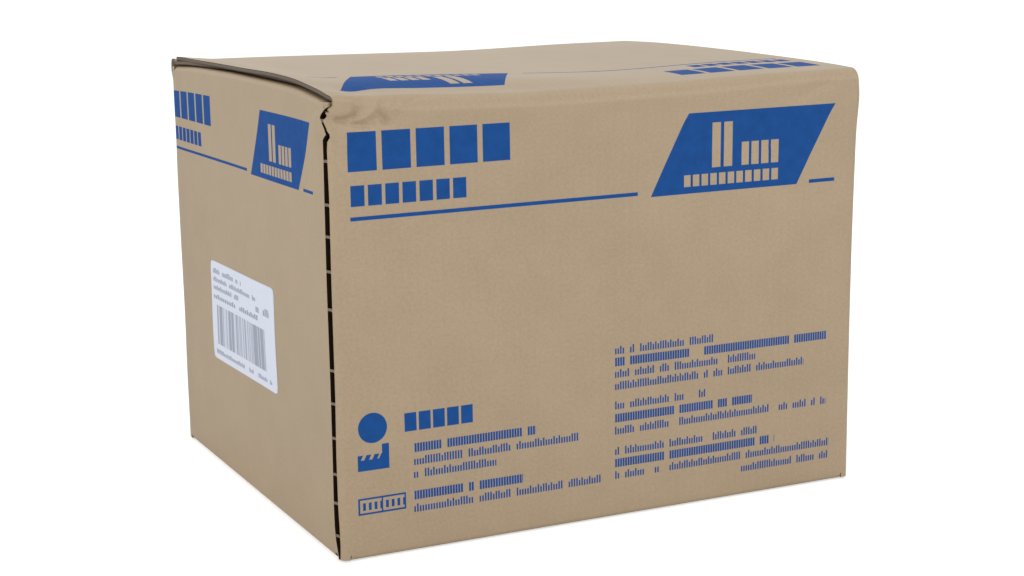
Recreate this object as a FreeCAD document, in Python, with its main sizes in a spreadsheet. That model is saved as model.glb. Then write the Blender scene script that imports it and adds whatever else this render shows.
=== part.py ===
"""A closed corrugated carton with full-overlap top flaps and a paper label on one wall.

Frame: +Z is up, the front wall faces -Y and the labelled wall faces -X. The origin is the
middle of the rectangle that the carton stands on, on the floor.
"""
import FreeCAD
import Part
import Sketcher
import os

os.makedirs("parts", exist_ok=True)
doc = FreeCAD.newDocument("carton")

SIZES = (
    ("wall_width", 218.0, "outside of the front and back walls, along X"),
    ("wall_depth", 189.0, "outside of the side walls, along Y"),
    ("wall_height", 164.0, "floor to the top skin of the folded side flaps"),
    ("board", 1.5, "thickness of the fine-fluted board"),
    ("corner_radius", 3.0, "outside radius of a vertical corner"),
    ("fold_radius", 0.6, "inside radius where a flap folds over"),
    ("shoulder_radius", 5.5, "outside radius of the outer flap's soft fold"),
    ("ply_gap", 0.3, "air between top flaps that lie on each other"),
    ("side_flap", 85.0, "length of the side flaps, top and bottom"),
    ("side_slot", 5.0, "side flaps' ends, in from the front and back walls"),
    ("inner_slot", 5.0, "inner flap's sides, in from the side walls"),
    ("inner_setback", 5.0, "inner flap's free edge, back from the front wall"),
    ("outer_slot", 2.5, "outer flap's sides, in from the side walls"),
    ("outer_setback", 6.0, "outer flap's free edge, in from the back wall"),
    ("bottom_slot", 7.0, "bottom flaps' sides, in from the side walls"),
    ("bottom_seam", 1.0, "gap where the two bottom flaps meet"),
    ("step_start", 3.0, "where a lower side flap leaves the floor, in from its wall"),
    ("step_run", 3.0, "length of the slope that lifts it over the bottom flaps"),
    ("lap_width", 32.0, "glue lap inside the back wall"),
    ("lap_trim", 3.0, "lap's ends, in from the upper and lower creases"),
    ("lap_setback", 0.5, "end of the back wall, short of the lapped corner's bend"),
    ("slit_front", 1.5, "cut-crease opening, measured along the front wall"),
    ("slit_side", 4.5, "cut-crease opening, measured along the side wall"),
    ("slit_start", 1.5, "height of the lowest slit of the cut-crease"),
    ("slit_length", 10.0, "one slit of the cut-crease"),
    ("nick_length", 1.5, "bridge of board left between two slits"),
    ("crease_gap", 0.1, "outer flap's crease above the front wall"),
    ("flute_pitch", 3.3, "one wave of the fluted medium"),
    ("liner", 0.25, "thickness of each liner"),
    ("medium_run", 0.2, "half of the medium, measured along the liner"),
    ("crushed_band", 12.0, "closed flutes beside the outer flap's crease"),
    ("label_length", 80.0, "paper label along the wall"),
    ("label_height", 41.0, "paper label, bottom to top"),
    ("label_paper", 0.12, "thickness of the label"),
    ("label_corner", 2.0, "radius of the label's corners"),
    ("label_back", 9.5, "label's middle, behind the middle of the wall"),
    ("label_rise", 67.0, "label's middle above the floor"),
    ("label_tilt", 1.4, "turn of the label on the wall, in degrees"),
)
sheet = doc.addObject("Spreadsheet::Sheet", "dim")
for row, (alias, number, meaning) in enumerate(SIZES, start=1):
    sheet.set(f"A{row}", alias)
    sheet.set(f"B{row}", str(number))
    sheet.set(f"C{row}", meaning)
    sheet.setAlias(f"B{row}", alias)
doc.recompute()

# Lengths that follow from the driving sizes, as expressions on the sheet.
SIDE = "dim.wall_width / 2"
END = "dim.wall_depth / 2"
BOARD = "dim.board"
CREASE = "(dim.wall_height - dim.fold_radius - dim.board)"
LOWER_CREASE = "(dim.fold_radius + dim.board)"
INNER_SKIN = "(dim.wall_height + dim.ply_gap + dim.board)"
OUTER_SKIN = f"({INNER_SKIN} + dim.ply_gap + dim.board)"
OUTER_CREASE = f"({CREASE} + dim.crease_gap)"
INNER_FREE = f"(-{END} + dim.board + dim.inner_setback)"
OUTER_FREE = f"({END} - dim.outer_setback)"
SLIT_PITCH = "(dim.slit_length + dim.nick_length)"


def value(expression):
    """The number that an expression on the sheet stands for."""
    return float(sheet.evalExpression(str(expression)))


def new_body(name):
    """An empty body whose label names the sub-part."""
    body = doc.addObject("PartDesign::Body", name)
    body.Label = name
    return body


def new_sketch(body, name, role, offset="0"):
    """A sketch on one of the body's origin planes, moved along that plane's normal."""
    sketch = body.newObject("Sketcher::SketchObject", name)
    plane = [item for item in body.Origin.OriginFeatures if item.Role == role][0]
    sketch.AttachmentSupport = [(plane, "")]
    sketch.MapMode = "FlatFace"
    sketch.AttachmentOffset = FreeCAD.Placement(FreeCAD.Vector(0, 0, value(offset)), FreeCAD.Rotation())
    sketch.setExpression("AttachmentOffset.Base.z", offset)
    return sketch


def outline(sketch, corners):
    """A closed outline; each corner is a pair of expressions, across and up."""
    first = sketch.GeometryCount
    count = len(corners)
    points = [FreeCAD.Vector(value(across), value(up), 0) for across, up in corners]
    for k in range(count):
        sketch.addGeometry(Part.LineSegment(points[k], points[(k + 1) % count]), False)
    for k in range(count):
        after = first + (k + 1) % count
        sketch.addConstraint(Sketcher.Constraint("Coincident", first + k, 2, after, 1))
    for k, corner in enumerate(corners):
        for kind, text in zip(("DistanceX", "DistanceY"), corner):
            rule = Sketcher.Constraint(kind, -1, 1, first + k, 1, value(text))
            index = sketch.addConstraint(rule)
            sketch.setExpression(f"Constraints[{index}]", text)


def rectangle(sketch, left, low, right, high):
    """A rectangle between two opposite corners."""
    outline(sketch, ((left, low), (right, low), (right, high), (left, high)))


def mirrored(corners):
    """The same outline on the other side of the middle."""
    return [(f"-({across})", up) for across, up in reversed(corners)]


def pad(body, sketch, name, length, side="Symmetric"):
    """Thicken an outline into the body."""
    feature = body.newObject("PartDesign::Pad", name)
    feature.Profile = sketch
    feature.SideType = side
    feature.setExpression("Length", length)
    feature.Refine = True
    doc.recompute()
    return feature


def pocket(body, sketch, name, length, spacing, copies, axis):
    """Cut an outline along its plane's normal and repeat the cut along an origin axis."""
    before = body.Shape.Volume
    cut = body.newObject("PartDesign::Pocket", name)
    cut.Profile = sketch
    cut.Reversed = True
    cut.setExpression("Length", length)
    doc.recompute()
    pattern = body.newObject("PartDesign::LinearPattern", f"{name}_row")
    pattern.Originals = [cut]
    line = [item for item in body.Origin.OriginFeatures if item.Role == axis][0]
    pattern.Direction = (line, [""])
    pattern.Mode = "Spacing"
    pattern.setExpression("Offset", spacing)
    pattern.Occurrences = copies
    body.Tip = pattern
    doc.recompute()
    if body.Shape.Volume >= before:
        raise RuntimeError(f"{name} cuts nothing")
    return pattern


def edges_along(body, axis, places):
    """Names of the body's straight edges along an axis through the given cross positions."""
    cross = [k for k in range(3) if k != axis]
    found = []
    for place in places:
        spot = [value(text) for text in place]
        for number, edge in enumerate(body.Shape.Edges, start=1):
            ends = [vertex.Point for vertex in edge.Vertexes]
            if all(abs(end[k] - s) < 0.001 for end in ends for k, s in zip(cross, spot)):
                found.append(f"Edge{number}")
    if not found:
        raise RuntimeError(f"no edge to round on {body.Label}")
    return found


def fillet(body, name, axis, radius, places):
    """Round the straight edges along an axis through the given cross positions."""
    base = body.Tip
    names = edges_along(body, axis, places)
    feature = body.newObject("PartDesign::Fillet", name)
    feature.Base = (base, names)
    feature.setExpression("Radius", radius)
    doc.recompute()
    return feature


# The carton body: one sheet folded into four walls, closed by a glue lap at the back right.
carton = new_body("carton_body")

walls = new_sketch(carton, "wall_outline", "XY_Plane", LOWER_CREASE)
rectangle(walls, f"-{SIDE}", f"-{END}", SIDE, END)
rectangle(walls, f"-{SIDE} + {BOARD}", f"-{END} + {BOARD}", f"{SIDE} - {BOARD}", f"{END} - {BOARD}")
pad(carton, walls, "walls", f"{CREASE} - {LOWER_CREASE}", "One side")

lap = new_sketch(carton, "lap_outline", "XY_Plane", f"{LOWER_CREASE} + dim.lap_trim")
rectangle(lap, f"{SIDE} - {BOARD} - dim.lap_width", f"{END} - 2 * {BOARD}",
          f"{SIDE} - {BOARD}", f"{END} - {BOARD}")
pad(carton, lap, "glue_lap", f"{CREASE} - {LOWER_CREASE} - 2 * dim.lap_trim", "One side")

seam = new_sketch(carton, "seam_outline", "XY_Plane", LOWER_CREASE)
rectangle(seam, f"{SIDE} - dim.corner_radius - dim.lap_setback", f"{END} - {BOARD}", SIDE, END)
trim = carton.newObject("PartDesign::Pocket", "back_wall_end")
trim.Profile = seam
trim.Reversed = True
trim.setExpression("Length", f"{CREASE} - {LOWER_CREASE}")
doc.recompute()

fillet(carton, "outer_corners", 2, "dim.corner_radius", (
    (f"-{SIDE}", f"-{END}"), (SIDE, f"-{END}"), (f"-{SIDE}", END), (SIDE, f"{END} - {BOARD}")))
fillet(carton, "inner_corners", 2, "dim.corner_radius - dim.board", (
    (f"-{SIDE} + {BOARD}", f"-{END} + {BOARD}"), (f"{SIDE} - {BOARD}", f"-{END} + {BOARD}"),
    (f"-{SIDE} + {BOARD}", f"{END} - {BOARD}"), (f"{SIDE} - {BOARD}", f"{END} - 2 * {BOARD}")))

# The cut-crease at the front left corner: slits through the board with nicks left between.
slit = new_sketch(carton, "slit_outline", "XY_Plane", f"{LOWER_CREASE} + dim.slit_start")
rectangle(slit, f"-{SIDE} - {BOARD}", f"-{END} - {BOARD}",
          f"-{SIDE} + dim.slit_front", f"-{END} + dim.slit_side")
slit_room = value(f"{CREASE} - {LOWER_CREASE} - dim.slit_start")
slit_count = int(slit_room // value(SLIT_PITCH))
pocket(carton, slit, "slit", "dim.slit_length", SLIT_PITCH, slit_count, "Z_Axis")

# Side flaps of the top: folded in over the walls, the lowest of the three layers.
side_section = (
    (SIDE, CREASE),
    (SIDE, "dim.wall_height"),
    (f"{SIDE} - dim.side_flap", "dim.wall_height"),
    (f"{SIDE} - dim.side_flap", f"dim.wall_height - {BOARD}"),
    (f"{SIDE} - {BOARD}", f"dim.wall_height - {BOARD}"),
    (f"{SIDE} - {BOARD}", CREASE),
)
top_sides = new_sketch(carton, "top_side_section", "XZ_Plane")
outline(top_sides, side_section)
outline(top_sides, mirrored(side_section))
pad(carton, top_sides, "top_side_flaps", "dim.wall_depth - 2 * dim.side_slot")

# Inner flap of the top: hinged at the back wall, it reaches almost to the front wall.
inner_section = (
    (END, CREASE),
    (END, INNER_SKIN),
    (INNER_FREE, INNER_SKIN),
    (INNER_FREE, f"{INNER_SKIN} - {BOARD}"),
    (f"{END} - {BOARD}", f"{INNER_SKIN} - {BOARD}"),
    (f"{END} - {BOARD}", CREASE),
)
inner = new_sketch(carton, "inner_flap_section", "YZ_Plane")
outline(inner, inner_section)
pad(carton, inner, "inner_flap", "dim.wall_width - 2 * dim.inner_slot")

# Lower side flaps: they fold in at the floor and step up onto the bottom flaps.
STEP_FOOT = f"{SIDE} - dim.step_start"
STEP_HEAD = f"{SIDE} - dim.step_start - dim.step_run"
FREE_SIDE = f"{SIDE} - dim.side_flap"
lower_section = (
    (SIDE, LOWER_CREASE),
    (SIDE, "0"),
    (STEP_FOOT, "0"),
    (STEP_HEAD, BOARD),
    (FREE_SIDE, BOARD),
    (FREE_SIDE, f"2 * {BOARD}"),
    (f"{STEP_HEAD} + {BOARD} / 2", f"2 * {BOARD}"),
    (f"{STEP_FOOT} + {BOARD} / 2", BOARD),
    (f"{SIDE} - {BOARD}", BOARD),
    (f"{SIDE} - {BOARD}", LOWER_CREASE),
)
lower_sides = new_sketch(carton, "lower_side_section", "XZ_Plane")
outline(lower_sides, lower_section)
outline(lower_sides, mirrored(lower_section))
pad(carton, lower_sides, "lower_side_flaps", "dim.wall_depth - 2 * dim.side_slot")

# Bottom flaps: hinged at the front and back walls, they meet at the middle of the floor.
bottom_section = (
    (END, LOWER_CREASE),
    (END, "0"),
    ("dim.bottom_seam / 2", "0"),
    ("dim.bottom_seam / 2", BOARD),
    (f"{END} - {BOARD}", BOARD),
    (f"{END} - {BOARD}", LOWER_CREASE),
)
bottom = new_sketch(carton, "bottom_flap_section", "YZ_Plane")
outline(bottom, bottom_section)
outline(bottom, mirrored(bottom_section))
pad(carton, bottom, "bottom_flaps", "dim.wall_width - 2 * dim.bottom_slot")

fillet(carton, "outer_folds_along_x", 0, LOWER_CREASE, (
    (END, INNER_SKIN), (END, "0"), (f"-{END}", "0")))
fillet(carton, "outer_folds_along_y", 1, LOWER_CREASE, (
    (SIDE, "dim.wall_height"), (f"-{SIDE}", "dim.wall_height"), (SIDE, "0"), (f"-{SIDE}", "0")))
fillet(carton, "inner_folds_along_x", 0, "dim.fold_radius", (
    (f"{END} - {BOARD}", f"{INNER_SKIN} - {BOARD}"), (f"{END} - {BOARD}", BOARD),
    (f"-{END} + {BOARD}", BOARD)))
fillet(carton, "inner_folds_along_y", 1, "dim.fold_radius", (
    (f"{SIDE} - {BOARD}", f"dim.wall_height - {BOARD}"),
    (f"-{SIDE} + {BOARD}", f"dim.wall_height - {BOARD}"),
    (f"{SIDE} - {BOARD}", BOARD), (f"-{SIDE} + {BOARD}", BOARD)))

# The outer top flap: creased along the front wall's top, with a soft shoulder, and cut
# across its flutes along the free edge at the back.
flap = new_body("outer_top_flap")
flap_section = (
    (f"-{END}", OUTER_CREASE),
    (f"-{END}", OUTER_SKIN),
    (OUTER_FREE, OUTER_SKIN),
    (OUTER_FREE, f"{OUTER_SKIN} - {BOARD}"),
    (f"-{END} + {BOARD}", f"{OUTER_SKIN} - {BOARD}"),
    (f"-{END} + {BOARD}", OUTER_CREASE),
)
flap_sketch = new_sketch(flap, "outer_flap_section", "YZ_Plane")
outline(flap_sketch, flap_section)
pad(flap, flap_sketch, "outer_flap", "dim.wall_width - 2 * dim.outer_slot")
SHOULDER = f"min(dim.shoulder_radius; {OUTER_SKIN} - {OUTER_CREASE} - 0.01)"
fillet(flap, "shoulder_inside", 0, f"{SHOULDER} - {BOARD}", (
    (f"-{END} + {BOARD}", f"{OUTER_SKIN} - {BOARD}"),))
fillet(flap, "shoulder", 0, SHOULDER, ((f"-{END}", OUTER_SKIN),))

# Flutes: the medium runs between the liners as a wave, with a tunnel on each side of it.
flute_count = int(value("(dim.wall_width - 2 * dim.outer_slot) / dim.flute_pitch")) - 1
FLUTE_FIRST = f"(-{flute_count} * dim.flute_pitch / 2)"
CAVITY_LOW = f"({OUTER_SKIN} - {BOARD} + dim.liner)"
CAVITY_HIGH = f"({OUTER_SKIN} - dim.liner)"
MEDIUM_RISE = f"(dim.medium_run * 2 * ({BOARD} - 2 * dim.liner) / dim.flute_pitch)"
flutes = new_sketch(flap, "flute_outline", "XZ_Plane", f"-{OUTER_FREE}")
outline(flutes, (
    (f"{FLUTE_FIRST} + dim.medium_run", CAVITY_LOW),
    (f"{FLUTE_FIRST} + dim.flute_pitch - dim.medium_run", CAVITY_LOW),
    (f"{FLUTE_FIRST} + dim.flute_pitch / 2", f"{CAVITY_HIGH} - {MEDIUM_RISE}")))
outline(flutes, (
    (f"{FLUTE_FIRST} + dim.flute_pitch / 2 + dim.medium_run", CAVITY_HIGH),
    (f"{FLUTE_FIRST} + dim.flute_pitch", f"{CAVITY_LOW} + {MEDIUM_RISE}"),
    (f"{FLUTE_FIRST} + 1.5 * dim.flute_pitch - dim.medium_run", CAVITY_HIGH)))
pocket(flap, flutes, "flute", f"{OUTER_FREE} + {END} - dim.crushed_band", "dim.flute_pitch",
       flute_count, "X_Axis")

# The label: one piece of paper with rounded corners, stuck flat on the left wall.
label = new_body("label")
label_sketch = new_sketch(label, "label_outline", "XY_Plane")
rectangle(label_sketch, "-dim.label_length / 2", "-dim.label_height / 2",
          "dim.label_length / 2", "dim.label_height / 2")
pad(label, label_sketch, "paper", "dim.label_paper", "One side")
HALF_LABEL = "dim.label_length / 2"
HALF_RISE = "dim.label_height / 2"
fillet(label, "label_corners", 2, "dim.label_corner", (
    (f"-{HALF_LABEL}", f"-{HALF_RISE}"), (HALF_LABEL, f"-{HALF_RISE}"),
    (f"-{HALF_LABEL}", HALF_RISE), (HALF_LABEL, HALF_RISE)))
# Its printed side faces -X, its length runs along the wall and its top edge is up.
face_left = FreeCAD.Rotation(FreeCAD.Vector(0, -1, 0), FreeCAD.Vector(0, 0, 1), FreeCAD.Vector(-1, 0, 0))
turn = FreeCAD.Rotation(FreeCAD.Vector(0, 0, 1), value("dim.label_tilt"))
label.Placement = FreeCAD.Placement(
    FreeCAD.Vector(value(f"-{SIDE}"), value("dim.label_back"), value("dim.label_rise")),
    face_left * turn)
doc.recompute()

for item in doc.Objects:
    if "Invalid" in item.State or "Error" in item.State:
        raise RuntimeError(f"{item.Label} failed: {item.State}")
for body in (carton, flap, label):
    if body.Shape.isNull() or not body.Shape.isValid() or len(body.Shape.Solids) != 1:
        raise RuntimeError(f"{body.Label} is not one valid solid")
    body.Shape.exportStep(f"parts/{body.Label}.step")
    print(body.Label, "volume", round(body.Shape.Volume / 1000, 2), "cm3")
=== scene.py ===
import math

import bpy
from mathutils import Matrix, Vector, noise


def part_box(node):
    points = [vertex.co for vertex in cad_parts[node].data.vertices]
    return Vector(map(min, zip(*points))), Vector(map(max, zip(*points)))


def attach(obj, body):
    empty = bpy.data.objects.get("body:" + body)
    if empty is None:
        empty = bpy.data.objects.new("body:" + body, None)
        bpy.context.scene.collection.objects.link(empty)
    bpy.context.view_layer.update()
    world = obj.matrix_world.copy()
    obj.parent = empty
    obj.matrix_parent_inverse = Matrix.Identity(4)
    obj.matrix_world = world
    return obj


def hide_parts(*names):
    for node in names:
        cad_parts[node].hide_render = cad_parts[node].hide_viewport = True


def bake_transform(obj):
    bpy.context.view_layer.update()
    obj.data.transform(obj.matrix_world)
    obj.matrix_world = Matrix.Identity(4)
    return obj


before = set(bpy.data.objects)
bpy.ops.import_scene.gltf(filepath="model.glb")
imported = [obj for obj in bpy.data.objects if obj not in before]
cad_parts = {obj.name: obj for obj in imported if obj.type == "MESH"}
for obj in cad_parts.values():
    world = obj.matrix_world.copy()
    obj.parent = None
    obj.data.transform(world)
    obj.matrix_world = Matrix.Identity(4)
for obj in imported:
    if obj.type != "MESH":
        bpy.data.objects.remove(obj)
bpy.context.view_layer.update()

# Front wall and outer top flap.
# One side of the die-cut blank: 1.5 mm fluted kraft board, creased and folded, printed in blue.
# The bottom flap turns in at the floor, the top flap turns back over the whole top.
# The blank is written in millimetres along the walls and up them, and folded to its place.
MM = 0.001
OUT = 999.0  # beyond every edge of the blank
BOARD = 1.5
HALF_WIDTH, HALF_DEPTH = 109.0, 94.5
CORNER = 3.0
QUARTER = CORNER * math.pi / 2
LEFT_EDGE = 4.5
LEGS = (
    ("straight", LEFT_EDGE - CORNER), ("turn", QUARTER),
    ("straight", 2 * (HALF_WIDTH - CORNER)), ("turn", QUARTER),
    ("straight", 2 * (HALF_DEPTH - CORNER)), ("turn", QUARTER),
    ("straight", 2 * (HALF_WIDTH - CORNER)), ("turn", QUARTER),
    ("straight", 2 * HALF_DEPTH - CORNER - LEFT_EDGE),
)
AROUND = sum(length for _, length in LEGS)
FRONT_START = LEGS[0][1] + QUARTER
FRONT_END = FRONT_START + LEGS[2][1]
RIGHT_START = FRONT_END + QUARTER
RIGHT_END = RIGHT_START + LEGS[4][1]
BACK_START = RIGHT_END + QUARTER
BACK_END = BACK_START + LEGS[6][1]
LEFT_START = BACK_END + QUARTER
SLIT_LEG, ROUND, SQUARE = 1, 1.0, 0.6
CREASE = 161.9
FOLD = 2.1
OUTER_SKIN, INNER_SKIN, SIDE_SKIN = 167.6, 165.8, 164.0
SHOULDER = 5.5
# Near the floor, strips of the walls stand on in the corners down to this height.
STRIP_FOOT = 0.4
# Near the top the walls' ends are squared, from what height and over how much of it.
RIGHT_SQUARED, LEFT_SQUARED = (138, 20), (158, 4)
NICKS = (8.6, 20.6, 31.3, 44.6, 57.2, 69.2, 91.0, 104.5, 116.8, 128.0, 143.2, 157.0)
NICK = 1.0
SLIT_LEFT, SLIT_FRONT = -1.0, 2.8
# The slit's two edges by height: cut clean below, torn above into a small open eye.
LEFT_CUT = ((0, 2.0), (4, 0.2), (9, -1.6), (20, -1.9), (38, -1.4), (65, -1.2), (100, -1.5), (130, -0.9),
            (145, -0.5), (150.5, -0.5), (151.5, 0.8), (152.5, 2.6), (154.5, 1.1), (155.8, -0.5),
            (156.8, -1.4), (158.0, -2.6), (159.2, -1.6), (160.5, 0.6), (161.6, 2.2), (162.3, 3.6),
            (165, 3.8))
FRONT_CUT = ((0, 2.6), (6, 2.9), (12, 2.7), (20, 2.3), (38, 2.2), (60, 2.7), (100, 2.7), (130, 3.0),
             (147, 2.7), (150.2, 3.0), (151.8, 4.1), (153.2, 4.0), (154.0, 3.2), (155.5, 2.6),
             (156.8, 1.2), (157.5, 0.5), (159.0, 2.5), (160.2, 3.2), (161.5, 2.7))


def smooth(t):
    """Eased step from 0 to 1."""
    t = min(max(t, 0.0), 1.0)
    return t * t * (3 - 2 * t)


def mix(a, b, t):
    return a + (b - a) * t


def middle(slot):
    return (slot[0] + slot[1]) / 2


def merged(stops, extra):
    """The stops, with each extra line that isn't too near to one before it."""
    kept, gap = list(stops), 0.3
    for line in extra:
        if all(abs(line - other) > gap for other in kept):
            kept.append(line)
    return sorted(kept)


def ruled(stops, steps):
    """Lines through all the stops, no further apart than the step of their part of the blank."""
    lines = [stops[0]]
    for start, end in zip(stops, stops[1:]):
        step = next(size for limit, size in steps if (start + end) / 2 < limit)
        count = max(1, math.ceil((end - start) / step - 1e-6))
        lines += [start + (end - start) * i / count for i in range(1, count)] + [end]
    return lines


def polyline(table, at):
    """Straight-line reading of a table of (place, value) pairs."""
    for (a, low), (b, high) in zip(table, table[1:]):
        if at <= b:
            return mix(low, high, min(max((at - a) / (b - a), 0), 1))
    return table[-1][1]


def eased(table, at):
    """Reading of a table of (place, value) pairs with a smooth curve through them."""
    for i in range(len(table) - 1):
        (a, low), (b, high) = table[i], table[i + 1]
        if at <= b or i == len(table) - 2:
            t = min(max((at - a) / (b - a), 0), 1)
            before, after = table[max(i - 1, 0)], table[min(i + 2, len(table) - 1)]
            rise = (high - before[1]) / (b - before[0]) * (b - a)
            leave = (after[1] - low) / (after[0] - a) * (b - a)
            return (low * (2 * t**3 - 3 * t**2 + 1) + rise * (t**3 - 2 * t**2 + t)
                    + high * (3 * t**2 - 2 * t**3) + leave * (t**3 - t**2))


def around(along):
    """Point on the walls' outer face and its outward direction, at a length along the walls."""
    along %= AROUND
    x, y, heading = -HALF_WIDTH, LEFT_EDGE - HALF_DEPTH, -math.pi / 2
    for number, (kind, length) in enumerate(LEGS):
        go = min(along, length)
        if kind == "straight":
            x, y = x + go * math.cos(heading), y + go * math.sin(heading)
        else:
            # A creased corner is squarer than a round one, except where it is slit.
            square = ROUND if number == SLIT_LEG else SQUARE
            turn = go / CORNER
            ahead = CORNER * math.sin(turn) ** square
            aside = CORNER * (1 - max(math.cos(turn), 0.0) ** square)
            x += ahead * math.cos(heading) - aside * math.sin(heading)
            y += ahead * math.sin(heading) + aside * math.cos(heading)
            heading += turn
        along -= go
        if along <= 0:
            break
    return x, y, math.sin(heading), -math.cos(heading)


def profile(up, skin, radius, step):
    """How far in from its wall, and how high, a line across the blank lies when folded."""
    top = skin - radius
    if up > top:
        turn = min((up - top) / radius, math.pi / 2)
        beyond = max(0.0, up - top - radius * math.pi / 2)
        return radius * (1 - math.cos(turn)) + beyond, top + radius * math.sin(turn)
    if up < FOLD:
        turn = min((FOLD - up) / FOLD, math.pi / 2)
        inward = FOLD * (1 - math.cos(turn)) + max(0.0, FOLD - up - FOLD * math.pi / 2)
        return inward, FOLD * (1 - math.sin(turn)) + step * smooth((inward - 3) / 3)
    return 0.0, up


# How far the handled top stands above or below flat, along its left edge and its right edge, and
# how far it sags behind the front edge, from left to right.
LEFT_LIFT = ((0, -1.2), (7, 0.3), (19, 1.2), (40, 2.1), (80, 2.2), (120, 1.9), (164, 0.8), (189, -0.6))
RIGHT_LIFT = ((0, -3.1), (17, -2.4), (47, -1.8), (100, -1.3), (150, -1.5), (189, -2.6))
SAG = ((0, 0.4), (10, 1.4), (40, 2.6), (75, 3.0), (120, 1.6), (180, 0.3), (218, 0.0))
# How far the top's middle dips below its two ends, from front to back.
DIP = ((0, 0.5), (17, 1.1), (47, 1.9), (120, 1.5), (189, 1.1))
# How far the wall's right end bulges, by height.
BULGE = ((0, 0.0), (60, 0.2), (100, 0.6), (131, 1.3), (155, 1.9), (170, 0.9))


def handled(x, y, height):
    """The carton isn't true: its top is warped and pressed, its right end bulges a little."""
    back = y + HALF_DEPTH
    near_left = 1 - smooth((x + HALF_WIDTH) / (2 * HALF_WIDTH) * 1.25)
    warp = mix(eased(RIGHT_LIFT, back), eased(LEFT_LIFT, back), near_left)
    warp -= eased(DIP, back) * smooth((x + HALF_WIDTH) / 18) * (1 - smooth((x - 10) / 70))
    to_right = smooth((x + 60) / 70)
    deepest, reach = mix(8, 2, to_right), mix(15, 12, to_right)
    sag = polyline(SAG, x + HALF_WIDTH) * math.exp(-(((back - deepest) / reach) ** 2))
    bulge = eased(BULGE, height) * smooth((x - 50) / 55) * (1 - smooth((y + 60) / 120))
    return x + bulge, y, height + warp * smooth((height - 146) / 18) - sag * smooth((height - 156) / 8)


def folded(along, up, wall):
    """Place in the carton of a point on the blank."""
    start, flap_end, skin, radius, step, low_standing, high_standing = wall
    x, y, nx, ny = around(along)
    x0, y0, nx0, ny0 = around(start + 0.001)
    squared_from, over = RIGHT_SQUARED if FRONT_START + 100 < along < RIGHT_END else LEFT_SQUARED
    straight = smooth((up - squared_from) / over) * (1 - smooth((along - flap_end) / 1.4))
    x = mix(x, x0 - ny0 * (along - start), straight)
    y = mix(y, y0 + nx0 * (along - start), straight)
    standing = low_standing if up < FOLD else high_standing if up > CREASE else ()
    if any(low < along < high for low, high in standing):
        inward, height = 0.0, up
    else:
        inward, height = profile(up, skin, radius, step)
    return handled(x - nx0 * inward, y - ny0 * inward, height)


def die_cut(name, columns, rows, windows):
    """Flat blank with its grid lines at the given places and its windows cut out."""
    bpy.ops.object.select_all(action="DESELECT")
    across, upward = len(columns) - 1, len(rows) - 1
    bpy.ops.mesh.primitive_grid_add(x_subdivisions=across, y_subdivisions=upward, size=1)
    blank = bpy.context.object
    blank.name = blank.data.name = name
    for vertex in blank.data.vertices:
        x, y, _ = vertex.co
        vertex.co = (columns[round((x + 0.5) * across)], rows[round((y + 0.5) * upward)], 0)
    for face in blank.data.polygons:
        x, y, _ = face.center
        face.select = any(a < x < b and c < y < d for a, b, c, d in windows)
    bpy.context.tool_settings.mesh_select_mode = (False, False, True)
    bpy.ops.object.mode_set(mode="EDIT")
    bpy.ops.mesh.delete(type="FACE")
    bpy.ops.object.mode_set(mode="OBJECT")
    sheet = blank.data.uv_layers.active
    sheet.name = "blank"
    for loop in blank.data.loops:
        sheet.data[loop.index].uv = blank.data.vertices[loop.vertex_index].co.xy * MM
    return blank


# The finishes' order on each piece. Above the crease the torn corner's edges show plain kraft, up
# to this height and this far along.
OUTSIDE, INSIDE, CUT_EDGE, FLUTE_END, SLIT_SHADE, SHADED_NICK_TAB = range(6)
TORN_TOP, TORN_ALONG = 165.2, 2.0


def give_thickness(piece, finishes, slit):
    """The board's thickness, inward, with the cut edges given their own finishes. The slit's edges and its
    nicks' tabs get dark finishes: painted shade in the slit.
    """
    for finish in finishes:
        piece.data.materials.append(finish)
    bpy.context.view_layer.objects.active = piece
    outer = len(piece.data.vertices)
    solid = piece.modifiers.new("thickness", "SOLIDIFY")
    solid.thickness, solid.offset = BOARD * MM, -1
    solid.use_even_offset = True
    solid.material_offset, solid.material_offset_rim = INSIDE, CUT_EDGE
    bpy.ops.object.modifier_apply(modifier="thickness")
    mesh = piece.data
    sheet = mesh.uv_layers["blank"]
    ply = mesh.uv_layers.new(name="ply")
    for face in mesh.polygons:
        marks = [sheet.data[i].uv.copy() for i in face.loop_indices]
        in_slit = [slit[0] * MM < mark.x < slit[1] * MM for mark in marks]
        # Outer faces between the slit's edges, the nicks' tabs, get the darker painted shade.
        if face.material_index == OUTSIDE and len(finishes) > SHADED_NICK_TAB and all(in_slit):
            face.material_index = SHADED_NICK_TAB
        if face.material_index != CUT_EDGE:
            continue
        wide = max(m.x for m in marks) - min(m.x for m in marks)
        tall = max(m.y for m in marks) - min(m.y for m in marks)
        if wide > tall:
            face.material_index = FLUTE_END
        near_slit = slit[0] * MM < marks[0].x < (slit[1] + TORN_ALONG) * MM
        # Rim faces inside the slit get the near-black painted shade.
        if in_slit[0] and 0 < marks[0].y < CREASE * MM:
            face.material_index = SLIT_SHADE
        elif near_slit and CREASE * MM < marks[0].y < TORN_TOP * MM:
            face.material_index = OUTSIDE
        for i, mark in zip(face.loop_indices, marks):
            across = 0.0 if mesh.loops[i].vertex_index < outer else 1.0
            ply.data[i].uv = (mark.x if wide > tall else mark.y, across)
    bpy.ops.object.select_all(action="DESELECT")
    piece.select_set(True)
    bpy.ops.object.shade_smooth_by_angle(angle=math.radians(40))


# The print, in millimetres from the front wall's left edge and up from the floor. Each mark has
# its sides, its blocks, how many are left out and how even they are, its lean, and the cell of
# the blank that it needs. A plain bar is a single block.
CLEAR = 0.4
WHOLE, NONE_OUT = 1000.0, -1.0
LETTER_PITCH, LETTERS_OUT = 1.08, 0.15


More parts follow.
